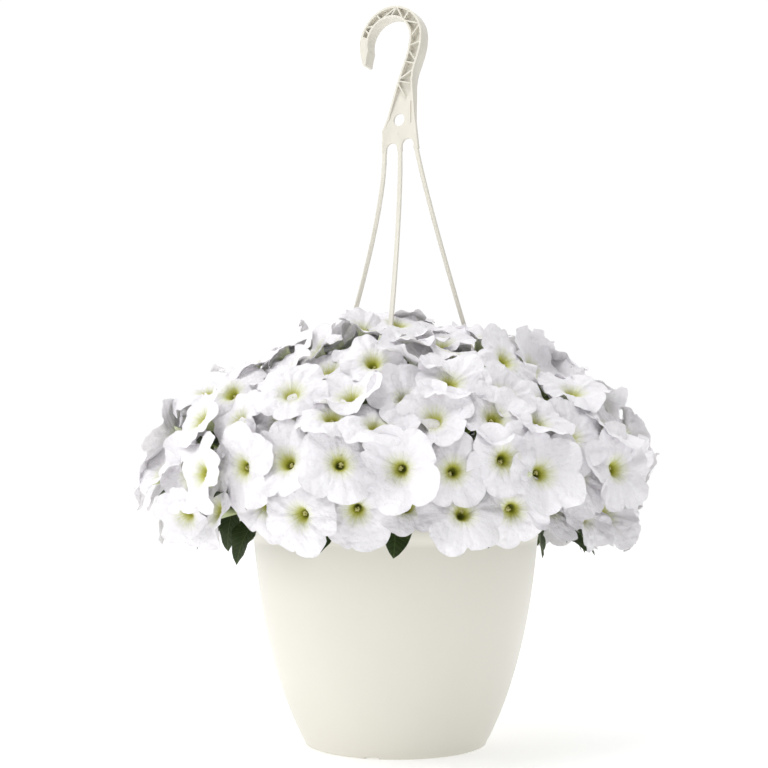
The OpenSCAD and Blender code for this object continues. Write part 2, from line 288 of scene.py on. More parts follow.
def put_in_place(bench, mesh, local, material, join_mm=0.004):
    """Turns the local shape by each piece's own turn, moves it to its place and closes its seam."""
    turned = bench.add("FunctionNodeRotateVector", {},
                       {0: local, 1: attribute(bench, "turn", "QUATERNION")})
    place = attribute(bench, "place", "FLOAT_VECTOR")
    mesh = bench.add("GeometryNodeSetPosition", {},
                     {"Geometry": mesh, "Position": vector_math("ADD", turned, place)})
    mesh = bench.add("GeometryNodeMergeByDistance", {}, {"Geometry": mesh, "Distance": join_mm * MM})
    mesh = bench.add("GeometryNodeSetShadeSmooth", {}, {"Geometry": mesh})
    fold = bench.add("GeometryNodeInputMeshEdgeAngle")
    mesh = bench.add("GeometryNodeSetShadeSmooth", {"domain": "EDGE"},
                     {"Geometry": mesh, "Selection": fold.math("GREATER_THAN", fold, MARGIN_FOLD),
                      "Shade Smooth": False})
    return bench.add("GeometryNodeSetMaterial", {}, {"Geometry": mesh, "Material": material})


print("tree helpers ready")

# %% [markdown]
# ## Where each bloom, bud and leaf is
#
# The frame holds a plain solid for every bloom, bud and leaf. Each one is a separate closed
# body, so its own middle, direction and size can be measured. A bloom is round about its stalk:
# its direction runs from the thin end of the stalk to the wide face.

# %% Split a CAD node into its solids
def solids_of(node):
    """The vertices of each separate solid of a CAD node, as arrays in metres."""
    mesh = bmesh.new()
    mesh.from_mesh(nodes[node].data)
    bmesh.ops.remove_doubles(mesh, verts=mesh.verts, dist=1e-6)
    mesh.verts.ensure_lookup_table()
    seen, groups = set(), []
    for start in mesh.verts:
        if start.index in seen:
            continue
        stack, group = [start], []
        seen.add(start.index)
        while stack:
            vert = stack.pop()
            group.append(vert.co[:])
            for edge in vert.link_edges:
                other = edge.other_vert(vert)
                if other.index not in seen:
                    seen.add(other.index)
                    stack.append(other)
        groups.append(np.array(group))
    mesh.free()
    return groups


def turn_to(direction, side=None):
    """The quaternion that turns +Z to a direction, and +X as near as it can to a side."""
    z = Vector(direction).normalized()
    x = Vector(side) if side is not None else Vector((-z.y, z.x, 0))
    x = x - x.dot(z) * z
    if x.length < 1e-6:
        x = z.orthogonal()
    x.normalize()
    return Matrix((x, z.cross(x), z)).transposed().to_quaternion()


def round_solid(points):
    """Foot and face centre of a solid that is round about its long axis."""
    middle = points.mean(0)
    spread = np.linalg.svd(points - middle, full_matrices=False)[2]
    best = None
    for axis in spread:
        along = (points - middle) @ axis
        low, high = points[along < along.min() + 0.0006], points[along > along.max() - 0.0006]
        ends = low.mean(0), high.mean(0)
        width = [np.linalg.norm(p - e, axis=1).max() for p, e in zip((low, high), ends)]
        length = np.ptp(along)
        if best is None or length > best[0]:
            best = (length, ends, width)
    length, ends, width = best
    foot, face = (ends[0], ends[1]) if width[0] < width[1] else (ends[1], ends[0])
    return foot, face


def bloom_places(node):
    """Foot, face centre and radius of every bloom of a branch."""
    found = []
    for points in solids_of(node):
        foot, face = round_solid(points)
        axis = (face - foot) / np.linalg.norm(face - foot)
        off = points - foot
        radius = np.linalg.norm(off - np.outer(off @ axis, axis), axis=1).max()
        found.append((foot, face, axis, radius))
    return found


BRANCHES = sorted(n[len("branch_"):-len("_blooms")] for n in nodes if n.endswith("_blooms"))
PLANTS = sorted(n[len("plant_"):-len("_crown")] for n in nodes if n.endswith("_crown"))
blooms = {b: bloom_places(f"branch_{b}_blooms") for b in BRANCHES}
print("blooms:", sum(map(len, blooms.values())), "on", len(BRANCHES), "branches")
lengths = [np.linalg.norm(b[1] - b[0]) / MM for rows in blooms.values() for b in rows]
radii = [b[3] / MM for rows in blooms.values() for b in rows]
print("length in mm: %.1f to %.1f" % (min(lengths), max(lengths)))
print("radius in mm: %.1f to %.1f" % (min(radii), max(radii)))

# %% [markdown]
# ## Materials
#
# Nothing here is a picture: each finish is worked out from where a point lies. A number that is
# the same all over goes straight on the shader's socket; only what varies is wired.

# %% Start a material
def finish(name, roughness, **constants):
    """A new material: its bench, and its shader with the values that don't vary."""
    material = bpy.data.materials.new(name)
    material.use_nodes = True
    tree = material.node_tree
    tree.nodes.clear()
    bench = Bench(tree)
    shader = tree.nodes.new("ShaderNodeBsdfPrincipled")
    output = tree.nodes.new("ShaderNodeOutputMaterial")
    tree.links.new(shader.outputs[0], output.inputs["Surface"])
    shader.inputs["Roughness"].default_value = roughness
    for label, value in constants.items():
        shader.inputs[label.replace("_", " ")].default_value = value
    return material, bench, shader


def wire_to(shader, label, wire):
    wire.bench.tree.links.new(wire.socket, shader.inputs[label])


def bump(bench, height, distance, strength=1.0):
    return bench.add("ShaderNodeBump", {}, {"Strength": strength, "Distance": distance, "Height": height})


def blend_colour(factor, first, second):
    bench = factor.bench
    return bench.add("ShaderNodeMix", {"data_type": "RGBA"}, {0: factor, 6: first, 7: second}, out=2)


def object_place(bench):
    return bench.add("ShaderNodeTexCoord", {}, {}, out=3)


def piece_value(bench, name, vector_out=False):
    return bench.add("ShaderNodeAttribute", {"attribute_name": name}, {}, out=1 if vector_out else 2)


def ridges(x, sharpness):
    """Turns noise into thin bright lines where it passes its middle value."""
    return larger(1.0 - abs(x - 0.5) * sharpness, 0.0)


# %% [markdown]
# ### Petal
#
# A petunia petal is thin, soft and almost white. Light passes into it, so it gets a little
# subsurface. Round the throat it turns yellow-green, then dark olive inside the tube, and fine
# green rays run out along the veins. Each bloom carries its own flat place, measured from its
# middle, so the rays and veins follow the petal however it is ruffled.

# %% Petal material
# Where a colour starts and where it is full, in millimetres out from the bloom's middle.
HALO_RING, YELLOW_RING, OLIVE_RING, BACK_RING = (16.0, 4.5), (8.6, 3.2), (4.4, 1.8), (12.0, 3.0)


def petal_finish():
    material, bench, shader = finish(
        "petal", 0.62, Subsurface_Weight=0.2, Subsurface_Scale=0.003, Subsurface_Radius=(1.0, 1.0, 0.95),
        Specular_IOR_Level=0.3, Sheen_Weight=0.1, Sheen_Roughness=0.5)
    place = piece_value(bench, "bloom_place", True)
    x, y, outer = split(place)
    seed = piece_value(bench, "seed")
    out = (x * x + y * y) ** 0.5
    spin = y.math("ARCTAN2", y, x)
    unit_x, unit_y = cosine(spin), sine(spin)

    def rays(count, drift, sharpness):
        where = vector(bench, unit_x * count, unit_y * count, out * drift + seed * 13.0)
        return ridges(noise(bench, where, 1.0, 1.0), sharpness)

    throat_rays = rays(5.0, 0.02, 9.0)
    veins = rays(11.0, 0.035, 11.0)
    mottle = noise(bench, place, 0.13, 3.0)
    white = blend_colour(mottle, (0.85, 0.83, 0.865, 1), (0.92, 0.90, 0.925, 1))
    white = blend_colour(veins * 0.12, white, (0.74, 0.75, 0.77, 1))
    near = ease(out, *HALO_RING)
    wash = near * (throat_rays * 0.35 + 0.28)
    colour = blend_colour(wash, white, (0.56, 0.62, 0.14, 1))
    colour = blend_colour(ease(out, *YELLOW_RING) * 0.95, colour, (0.52, 0.53, 0.035, 1))
    colour = blend_colour(ease(out, *OLIVE_RING), colour, (0.19, 0.21, 0.012, 1))
    back = blend_colour(ease(out, *BACK_RING) * 0.8, white, (0.52, 0.60, 0.22, 1))
    back = blend_colour(near * throat_rays * 0.4, back, (0.35, 0.45, 0.12, 1))
    wire_to(shader, "Base Color", blend_colour(outer, colour, back))
    crinkle = noise(bench, place, 0.17, 2.0, 0.45)
    height = crinkle * 3.6 - veins * 0.12 - throat_rays * ease(out, 26.0, 6.0) * 0.2
    wire_to(shader, "Normal", bump(bench, height, 0.8 * MM, 0.75))
    return material


petal = petal_finish()
print("petal material:", len(petal.node_tree.nodes), "nodes")

# %% [markdown]
# ### Leaf and green stem
#
# The leaves are dark, matt and downy, with a paler midrib and side veins that run forward
# towards the edge. The flat place on the leaf (along and across) draws the veins.

# %% Leaf and stem materials
def leaf_finish(name, dark, light, vein):
    material, bench, shader = finish(name, 0.5, Specular_IOR_Level=0.3, Sheen_Weight=0.06,
                                     Sheen_Roughness=0.4)
    along, across, under = split(piece_value(bench, "leaf_place", True))
    seed = piece_value(bench, "seed")
    body = vector(bench, along * 0.12, across * 0.12, seed * 7.0)
    midrib = ease(abs(across), 0.7, 0.15)
    side = cosine((along - abs(across) * 0.75) * 1.25 + noise(bench, body, 3.0) * 2.0)
    side_vein = ease(side, 0.9, 1.0) * 0.6
    lines = larger(midrib, side_vein)
    colour = blend_colour(noise(bench, body, 4.0, 4.0), dark, light)
    colour = blend_colour(lines * 0.55, colour, vein)
    colour = blend_colour(under * 0.45, colour, vein)
    wire_to(shader, "Base Color", colour)
    quilt = side * 0.25 + noise(bench, body, 40.0, 3.0) * 0.25 - lines * 0.6
    wire_to(shader, "Normal", bump(bench, quilt, 0.5 * MM, 0.7))
    return material


def stem_finish():
    material, bench, shader = finish("stem", 0.55, Specular_IOR_Level=0.35, Sheen_Weight=0.3,
                                     Sheen_Roughness=0.4)
    place = object_place(bench)
    tone = noise(bench, place, 60.0, 3.0)
    down = noise(bench, place, 1800.0, 2.0)
    wire_to(shader, "Base Color", blend_colour(tone, (0.12, 0.17, 0.035, 1), (0.26, 0.34, 0.09, 1)))
    wire_to(shader, "Normal", bump(bench, down + tone, 0.3 * MM, 0.6))
    return material


leaf = leaf_finish("leaf", (0.012, 0.026, 0.004, 1), (0.036, 0.060, 0.012, 1), (0.085, 0.13, 0.03, 1))
sepal = leaf_finish("sepal", (0.10, 0.17, 0.03, 1), (0.20, 0.29, 0.06, 1), (0.30, 0.38, 0.12, 1))
stem = stem_finish()
print("leaf, sepal and stem materials ready")

# %% [markdown]
# ### Moulded plastic
#
# The pot and the hanger are smooth satin polypropylene in ivory. The hanger's copy of it is given
# darker colours, and that darkness is painted shade. Up close such a moulding isn't flat: its colour
# drifts a little where the melt flowed, its gloss changes with handling, and it has a very fine
# orange-peel skin and a few rubbed marks.

# %% Plastic materials
def plastic_finish(name, pale, deep, roughness, flow_scale):
    material, bench, shader = finish(name, roughness, Specular_IOR_Level=0.5)
    place = object_place(bench)
    x, y, z = split(place)
    flow = noise(bench, vector(bench, x, y, z * 0.35), flow_scale, 3.0)
    speck = noise(bench, place, 900.0, 2.0)
    rub = ridges(noise(bench, vector(bench, x * 0.5, y * 0.5, z * 6.0), 70.0, 3.0), 16.0)
    wire_to(shader, "Base Color", blend_colour(flow * 0.8 + speck * 0.2, deep, pale))
    wire_to(shader, "Roughness", roughness + flow * 0.10 + rub * 0.08 - 0.06)
    peel = noise(bench, place, 420.0, 2.0) * 0.6 + flow * 0.8 + rub * 0.06
    wire_to(shader, "Normal", bump(bench, peel, 0.25 * MM, 0.25))
    return material


pot_plastic = plastic_finish(
    "pot_plastic", (0.82, 0.80, 0.725, 1), (0.77, 0.745, 0.66, 1), 0.36, 9.0)
# Painted shade: the hanger is the same ivory as the pot, with both of its colours made darker.
hanger_plastic = plastic_finish(
    "hanger_plastic", (0.71, 0.688, 0.612, 1), (0.65, 0.623, 0.542, 1), 0.40, 40.0)
print("plastic materials ready")

# %% [markdown]
# ### Potting mix, bark and roots
#
# Peat and bark crumb is dark brown and moist, with white specks of perlite. The crowns are short
# and woody, and pale roots show on the plugs.

# %% Potting mix, crown and pollen materials
def mix_finish():
    material, bench, shader = finish("potting_mix", 0.85)
    place = object_place(bench)
    tone = noise(bench, place, 160.0, 5.0, 0.7)
    clod = bench.add("ShaderNodeTexVoronoi", {}, {"Vector": place, "Scale": 260.0})
    colour = blend_colour(tone, (0.010, 0.006, 0.004, 1), (0.075, 0.045, 0.026, 1))
    wire_to(shader, "Base Color", colour)
    wire_to(shader, "Normal", bump(bench, tone + clod, 1.5 * MM, 0.8))
    return material


def crown_finish():
    material, bench, shader = finish("crown_bark", 0.8)
    place = object_place(bench)
    x, y, z = split(place)
    fibre = noise(bench, vector(bench, x * 4.0, y * 4.0, z), 120.0, 4.0)
    roots = ridges(noise(bench, place, 90.0, 3.0), 14.0)
    colour = blend_colour(fibre, (0.055, 0.036, 0.018, 1), (0.16, 0.125, 0.055, 1))
    wire_to(shader, "Base Color", blend_colour(roots * 0.7, colour, (0.42, 0.36, 0.25, 1)))
    wire_to(shader, "Normal", bump(bench, fibre + roots, 0.8 * MM, 0.8))
    return material


def bead_finish(name, dark, light, roughness):
    material, bench, shader = finish(name, roughness)
    tone = noise(bench, object_place(bench), 1400.0, 2.0)
    wire_to(shader, "Base Color", blend_colour(tone, dark, light))
    wire_to(shader, "Normal", bump(bench, tone, 0.2 * MM, 0.6))
    return material


potting_mix = mix_finish()
crown_bark = crown_finish()
perlite = bead_finish("perlite", (0.55, 0.54, 0.50, 1), (0.80, 0.79, 0.75, 1), 0.9)
bark = bead_finish("bark_chip", (0.035, 0.020, 0.010, 1), (0.14, 0.08, 0.04, 1), 0.85)
pollen = bead_finish("pollen", (0.50, 0.47, 0.16, 1), (0.72, 0.68, 0.34, 1), 0.7)
print("mix, bark and bead materials ready")

# %% [markdown]
# ## Blooms
#
# A petunia bloom is one trumpet: a narrow tube that opens into five joined lobes with a notch
# between each pair, a crease down the middle of each, and a ruffled margin. It could be
# sculpted once and copied, but nearly two hundred copies of one bloom look like wallpaper. A
# tree that works the shape out from the angle, the distance from the throat and a seed gives
# every bloom its own notches, ruffles and bend.
#
# The petal is one closed skin: the grid runs from the throat out to the margin on the face, and
# back on the underside to the foot of the tube.

# %% Tree that grows trumpets
FACE_SHARE = 0.62
THROAT_DEPTH = 14 * MM
THROAT_WIDTH = 4.2 * MM
TUBE_LENGTH = 31 * MM
TUBE_WIDTH = 3.1 * MM
PETAL_THICKNESS = 0.4 * MM


def bend_tube(bench, local, z):
    """The limb is turned to face its own way, while the tube's foot stays on the stalk."""
    turned = bench.add("FunctionNodeRotateVector", {},
                       {0: local, 1: attribute(bench, "face_turn", "QUATERNION")})
    limb = ease(z, -26 * MM, -5 * MM)
    return bench.add("ShaderNodeMix", {"data_type": "VECTOR"}, {0: limb, 4: local, 5: turned}, out=1)


def trumpet_tree():
    tree, bench, given = new_tree("grow_trumpets", grid_inputs(80, 24, "Petal", petal))
    copies = one_grid_each(bench, given["Points"], grid_of(bench, given["Around"], given["Along"]))
    u, v = attribute(bench, "u"), attribute(bench, "v")
    size, seed = attribute(bench, "size"), attribute(bench, "seed")
    outer = v.math("GREATER_THAN", v, FACE_SHARE)
    t = outer * ((1.0 - v) / (1.0 - FACE_SHARE)) + (1.0 - outer) * (v / FACE_SHARE)
    r = t ** 1.5
    angle = u * (2 * math.pi)
    cx, cy = cosine(angle), sine(angle)

    def around(count, shift, drift=0.0):
        where = vector(bench, cx * count + seed * 11.3 + shift, cy * count + seed * 5.7,
                       r * drift + seed * 3.9 + shift)
        return (noise(bench, where, 1.0, 1.0) - 0.5) * 2.5

    lobe = abs(cosine(angle * 2.5))
    notch = (1.0 - lobe ** 0.5) * (0.20 + around(0.8, 3.0) * 0.10)
    margin = size * (1.0 - notch + around(0.9, 9.0) * 0.13 + around(5.5, 5.0) * 0.022)
    rho = r * (size + (margin - size) * r * r)
    ruffle = r * r * (around(0.75, 21.0) * 0.34 + cosine(angle * 5.0) * 0.05 * attribute(bench, "wave"))
    ruffle = ruffle + r ** 2.4 * around(1.9, 31.0, 0.9) * 0.26
    ruffle = ruffle + r * r * around(4.5, 41.0, 2.2) * 0.04
    crease = lobe ** 30.0 * (-0.045) + (1.0 - lobe) ** 5.0 * 0.07
    ruffle = ruffle + crease * r * (1.3 - r)
    ruffle = ruffle + r * attribute(bench, "funnel") + r * r * attribute(bench, "cup")
    funnel = -THROAT_DEPTH / (1.0 + (rho / THROAT_WIDTH) ** 2.2)
    tube = -TUBE_LENGTH / (1.0 + (rho / TUBE_WIDTH) ** 2.6)
    back = smaller(tube, funnel - PETAL_THICKNESS)
    z = outer * back + (1.0 - outer) * funnel + ruffle * size
    local = bend_tube(bench, vector(bench, rho * cx, rho * cy, z), z)
    copies = keep(bench, copies, "bloom_place",
                  vector(bench, rho * cx / MM, rho * cy / MM, outer), "FLOAT_VECTOR")
    end_tree(bench, put_in_place(bench, copies, local, given["Petal"]))
    return tree


trumpets = trumpet_tree()
print("trumpet tree:", len(trumpets.nodes), "nodes")

# %% [markdown]
# The frame's bloom is only the firm middle of the real one. The petal reaches more than twice as
# far, soft and wavy, so each point of the cloud gets a size from the radius that was measured.

# %% Grow the petals of every branch
PETAL_REACH = 32 / 13
FACE_LEAN = 0.24


def piece(name, mesh, node_slot, *cad_nodes):
    """A finished piece: it rides with the frame's body and may replace CAD nodes. Its node_slot is not
    used.
    """
    made = bpy.data.objects.new(name, mesh)
    bpy.context.scene.collection.objects.link(made)
    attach(made, BODY)
    if cad_nodes:
        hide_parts(*cad_nodes)
    return made


def bloom_cloud(branch, rng):
    """One point per bloom: where its face is, how it is turned, and its own random values."""
    rows = blooms[branch]
    turns, face_turns = [], []
    for foot, face, axis, radius in rows:
        turns.append(turn_to(axis, [rng.uniform(-1, 1) for _ in range(3)])[:])
        lean = Vector([rng.gauss(0, FACE_LEAN) for _ in range(2)] + [1.0])
        face_turns.append(Vector((0, 0, 1)).rotation_difference(lean)[:])
    return cloud(
        f"{branch}_bloom_points", [r[1] for r in rows], turn=turns, face_turn=face_turns,
        size=[r[3] * PETAL_REACH * rng.uniform(0.90, 1.10) for r in rows],
        seed=[rng.uniform(0, 40) for _ in rows], wave=[rng.uniform(-1.0, 1.0) for _ in rows],
        funnel=[rng.uniform(0.03, 0.30) for _ in rows], cup=[rng.uniform(-0.34, 0.08) for _ in rows])


rng = random.Random(11)
petal_count = 0
for branch in BRANCHES:
    mesh = grow(f"{branch}_petals", trumpets, bloom_cloud(branch, rng))
    petal_count += len(mesh.polygons)
    piece(f"branch_{branch}_petals", mesh, "petal", f"branch_{branch}_blooms")
print("petal faces:", petal_count)

# %% [markdown]
# ## Straps: leaves and sepals
#
# A leaf and a sepal are both a flat closed strap that narrows to a point. One tree makes both:
# the outline is a narrow stalk that swells into a blade, folded a little along the midrib, bent
# along its length, with a gently waved edge.

# %% Tree that grows straps
def strap_tree():
    tree, bench, given = new_tree("grow_straps", grid_inputs(14, 13, "Green", leaf))
    copies = one_grid_each(bench, given["Points"], grid_of(bench, given["Around"], given["Along"]))
    u, v = attribute(bench, "u"), attribute(bench, "v")
    length, width, seed = (attribute(bench, n) for n in ("length", "width", "seed"))
    stalk, thick = attribute(bench, "stalk"), attribute(bench, "thick")
    angle = u * (2 * math.pi)
    blade = larger((v - stalk) / (1.0 - stalk), 0.0)
    oval = sine(blade ** 0.72 * math.pi) ** 0.75
    closed = smaller(smaller(v * 40.0, (1.0 - v) * 40.0), 1.0)
    half = width * 0.5 * larger(oval, closed * 0.09)
    across = half * cosine(angle)
    side = abs(cosine(angle))
    flat = across / width
    fold = attribute(bench, "fold") * abs(across)
    wave = sine(v * 17.0 + seed * 9.0 + flat * 3.0) * side * side * half * 0.10
    bend = length * attribute(bench, "bend") * v * v
    skin = sine(angle) * thick * closed * (1.0 - side * 0.6)
    local = vector(bench, fold + wave + skin - bend, across, v * length * (1.0 - v * v * 0.06))
    under = v.math("LESS_THAN", sine(angle), 0.0)
    copies = keep(bench, copies, "leaf_place",
                  vector(bench, v * length / MM, across / MM, under), "FLOAT_VECTOR")
    end_tree(bench, put_in_place(bench, copies, local, given["Green"]))
    return tree


straps = strap_tree()
print("strap tree:", len(straps.nodes), "nodes")

# %% [markdown]
# The frame's leaves are thin pointed plates. Where two meet they are one solid, so the plates are
# found by their two flat faces instead: all triangles that lie in one plane belong to one side of
# one leaf. The end nearer to a bloom's stalk is the leaf's base.

# %% Find the leaves of a branch
SMALLEST_BLADE = 120 * MM * MM
LONGEST_BLADE = 70 * MM
PLANE_GAP = 0.05 * MM


def flat_faces(node):
    """Groups of triangles that lie in one plane: (normal, points), the large ones."""
    mesh = nodes[node].data
    mesh.calc_loop_triangles()
    places = np.array([v.co[:] for v in mesh.vertices])
    corners = places[np.array([t.vertices[:] for t in mesh.loop_triangles])]
    cross = np.cross(corners[:, 1] - corners[:, 0], corners[:, 2] - corners[:, 0])
    area = np.linalg.norm(cross, axis=1) / 2
    keep_rows = area > 1e-10
    corners, area = corners[keep_rows], area[keep_rows]
    normal = cross[keep_rows] / (2 * area[:, None])
    offset = np.einsum("ij,ij->i", normal, corners[:, 0])
    taken = np.zeros(len(area), bool)
    groups = []
    for i in np.argsort(-area):
        if taken[i]:
            continue
        same = (~taken) & (normal @ normal[i] > 0.9999) & (abs(offset - offset[i]) < PLANE_GAP)
        same &= np.linalg.norm(corners.mean(1) - corners[i].mean(0), axis=1) < LONGEST_BLADE
        taken |= same
        if area[same].sum() > SMALLEST_BLADE:
            groups.append((normal[i], corners[same].reshape(-1, 3)))
    return groups


def leaf_places(branch):
    """Base, tip and upper normal of every leaf of a branch."""
    feet = np.array([b[0] for b in blooms[branch]])
    found = []
    for normal, points in flat_faces(f"branch_{branch}_leaves"):
        outward = points.mean(0) * (1, 1, 0)
        outward = outward / max(np.linalg.norm(outward), 1e-6)
        if normal @ (outward * 0.4 + np.array([0, 0, 1.0])) < 0:
            continue
        middle = points.mean(0)
        long_axis = np.linalg.svd(points - middle, full_matrices=False)[2][0]
        along = (points - middle) @ long_axis
        ends = points[along.argmin()], points[along.argmax()]
        gaps = [np.linalg.norm(feet - e, axis=1).min() for e in ends]
        base, tip = ends if gaps[0] < gaps[1] else ends[::-1]
        found.append((base, tip, normal))
    return found


leaves = {b: leaf_places(b) for b in BRANCHES}
sizes = [np.linalg.norm(r[1] - r[0]) / MM for rows in leaves.values() for r in rows]
print("leaves:", len(sizes), "length in mm: %.1f to %.1f" % (min(sizes), max(sizes)))

# %% [markdown]
# Leaves grow from their base towards their tip, with the upper face up. Five narrow sepals clasp
# the foot of each bloom's tube.

# %% Grow leaves and sepals
SEPALS = 5
SEPAL_FOOT = 17 * MM


def leaf_cloud(branch, rng):
    rows = leaves[branch]
    size = [np.linalg.norm(r[1] - r[0]) for r in rows]
    return cloud(
        f"{branch}_leaf_points", [r[0] for r in rows], turn=[turn_to(r[1] - r[0], r[2])[:] for r in rows],
        length=size, width=[s * 0.56 * rng.uniform(0.9, 1.08) for s in size],
        seed=[rng.uniform(0, 40) for _ in rows], stalk=[0.10] * len(rows), thick=[0.35 * MM] * len(rows),
        fold=[rng.uniform(0.10, 0.38) for _ in rows], bend=[rng.uniform(0.02, 0.24) for _ in rows])


def sepal_cloud(branch, rng):
    places, turns, sizes = [], [], []
    for foot, face, axis, radius in blooms[branch]:
        base = Vector(foot) + Vector(axis) * SEPAL_FOOT
        first = rng.uniform(0, math.tau)
        for i in range(SEPALS):
            turn = turn_to(axis)
            angle = first + i * math.tau / SEPALS
            out = turn @ Vector((math.cos(angle), math.sin(angle), 0))
            places.append(base + out * 1.0 * MM)
            turns.append(turn_to(Vector(axis) + out * rng.uniform(0.28, 0.6), -out)[:])
            sizes.append(rng.uniform(10.5, 13.5) * MM)
    count = len(places)
    return cloud(
        f"{branch}_sepal_points", places, turn=turns, length=sizes, width=[s * 0.28 for s in sizes],
        seed=[rng.uniform(0, 40) for _ in range(count)], stalk=[0.0] * count, thick=[0.3 * MM] * count,
        fold=[0.15] * count, bend=[rng.uniform(-0.05, 0.15) for _ in range(count)])


for branch in BRANCHES:
    mesh = grow(f"{branch}_foliage", straps, leaf_cloud(branch, rng))
    piece(f"branch_{branch}_foliage", mesh, "leaf", f"branch_{branch}_leaves")
    mesh = grow(f"{branch}_sepals", straps, sepal_cloud(branch, rng), Around=8, Along=7, Green=sepal)
    piece(f"branch_{branch}_sepals", mesh, "leaf")
print("leaves and sepals grown")

# %% [markdown]
# ## Rods: flower stalks, buds and anthers
#
# A stalk, an unopened bud and an anther are all round about one axis; only the outline differs.
# One tree makes them, from a width, a length, how blunt the ends are, how far the upper half
# swells and how deep the spiral pleats of the bud are.

# %% Tree that grows rods
def rod_tree():
    tree, bench, given = new_tree("grow_rods", grid_inputs(20, 17, "Skin", stem))
    copies = one_grid_each(bench, given["Points"], grid_of(bench, given["Around"], given["Along"]))
    u, v = attribute(bench, "u"), attribute(bench, "v")
    length, width, blunt, swell, pleat = (
        attribute(bench, n) for n in ("length", "width", "blunt", "swell", "pleat"))
    angle = u * (2 * math.pi)
    cap = larger(1.0 - abs(v * 2.0 - 1.0) ** blunt, 0.0) ** 0.5
    belly = 1.0 - swell + swell * ease(v, 0.15, 0.62)
    tip = 1.0 - swell * 0.85 * ease(v, 0.66, 1.0)
    fold = abs(cosine(angle * 2.5 + v * 3.6)) ** 0.7
    r = width * cap * belly * tip * (1.0 - pleat * fold * ease(v, 0.1, 0.6))
    bow = sine(v * math.pi) * length * attribute(bench, "bow")
    local = vector(bench, r * cosine(angle) + bow, r * sine(angle), v * length)
    copies = keep(bench, copies, "rod_place", vector(bench, v, fold, r / MM), "FLOAT_VECTOR")
    end_tree(bench, put_in_place(bench, copies, local, given["Skin"], 0.002))
    return tree


rods = rod_tree()
print("rod tree:", len(rods.nodes), "nodes")

# %% [markdown]
# A bud is the same soft white as the petal, but still green at its foot and in the valleys of
# its pleats.

# %% Bud material, and rods that stand in for stalks, buds and anthers
def bud_finish():
    material, bench, shader = finish("bud", 0.6, Subsurface_Weight=0.15, Subsurface_Scale=0.003,
                                     Subsurface_Radius=(1.0, 1.0, 0.8))
    v, fold, radius = split(piece_value(bench, "rod_place", True))
    tone = noise(bench, object_place(bench), 260.0, 3.0)
    pale = blend_colour(tone, (0.62, 0.68, 0.40, 1), (0.84, 0.86, 0.74, 1))
    green = (0.28, 0.38, 0.09, 1)
    colour = blend_colour(ease(v, 0.55, 0.05) * 0.8, pale, green)
    wire_to(shader, "Base Color", blend_colour(ease(fold, 0.6, 1.0) * 0.45, colour, green))
    wire_to(shader, "Normal", bump(bench, tone - fold * 0.4, 0.4 * MM, 0.6))
    return material


bud_skin = bud_finish()


def rod_cloud(name, rows, rng):
    """rows of (base, direction, length, width, blunt, swell, pleat, bow)."""
    keys = ("length", "width", "blunt", "swell", "pleat", "bow")
    columns = {k: [r[2 + i] for r in rows] for i, k in enumerate(keys)}
    turns = [turn_to(r[1], [rng.uniform(-1, 1) for _ in range(3)])[:] for r in rows]
    return cloud(name, [r[0] for r in rows], turn=turns, **columns)


STALK_BLUNT = 24.0
STALK_SINK = 1.5 * MM
ANTHERS = 5
ANTHER_RING = 1.25 * MM
STIGMA_DEPTH = 7.4


def stalk_rows(branch, rng):
    return [(foot - axis * STALK_SINK, axis, 20 * MM, 1.0 * MM, STALK_BLUNT, 0.0, 0.0,
             rng.uniform(-0.03, 0.03)) for foot, face, axis, radius in blooms[branch]]


def anther_rows(branch, rng):
    """Five anthers and a stigma just inside each throat."""
    rows = []
    for foot, face, axis, radius in blooms[branch]:
        turn = turn_to(axis)
        for i in range(ANTHERS + 1):
            is_stigma = i == ANTHERS
            angle = i * math.tau / ANTHERS + rng.uniform(-0.3, 0.3)
            reach = 0.0 if is_stigma else ANTHER_RING
            off = turn @ Vector((math.cos(angle), math.sin(angle), 0)) * reach
            depth = (STIGMA_DEPTH if is_stigma else rng.uniform(8.0, 9.6)) * MM
            at = Vector(face) - Vector(axis) * depth + off
            rows.append((at, axis, 1.9 * MM, 0.85 * MM, 2.2, 0.0, 0.0, 0.0))
    return rows


for branch in BRANCHES:
    points = rod_cloud(f"{branch}_stalk_points", stalk_rows(branch, rng), rng)
    piece(f"branch_{branch}_stalks", grow(f"{branch}_stalks", rods, points, Around=8, Along=8), "stem")
    points = rod_cloud(f"{branch}_anther_points", anther_rows(branch, rng), rng)
    mesh = grow(f"{branch}_anthers", rods, points, Around=7, Along=6, Skin=pollen)
    piece(f"branch_{branch}_anthers", mesh, "petal")
print("stalks and anthers grown")

# %% [markdown]
# A bud's foot is the end of its solid that is nearer to the middle of the mound. The bud itself
# is the outer half; below it is a thin stalk.

# %% Buds
MOUND_HEART = Vector((0, 0, 230 * MM))
BUD_LENGTH = 30 * MM
BUD_STALK = 24 * MM


def bud_places(node):
    found = []
    for points in solids_of(node):
        a, b = round_solid(points)
        inner, outer = sorted((Vector(a), Vector(b)), key=lambda p: (p - MOUND_HEART).length)
        found.append((inner, outer, (outer - inner).normalized()))
    return found


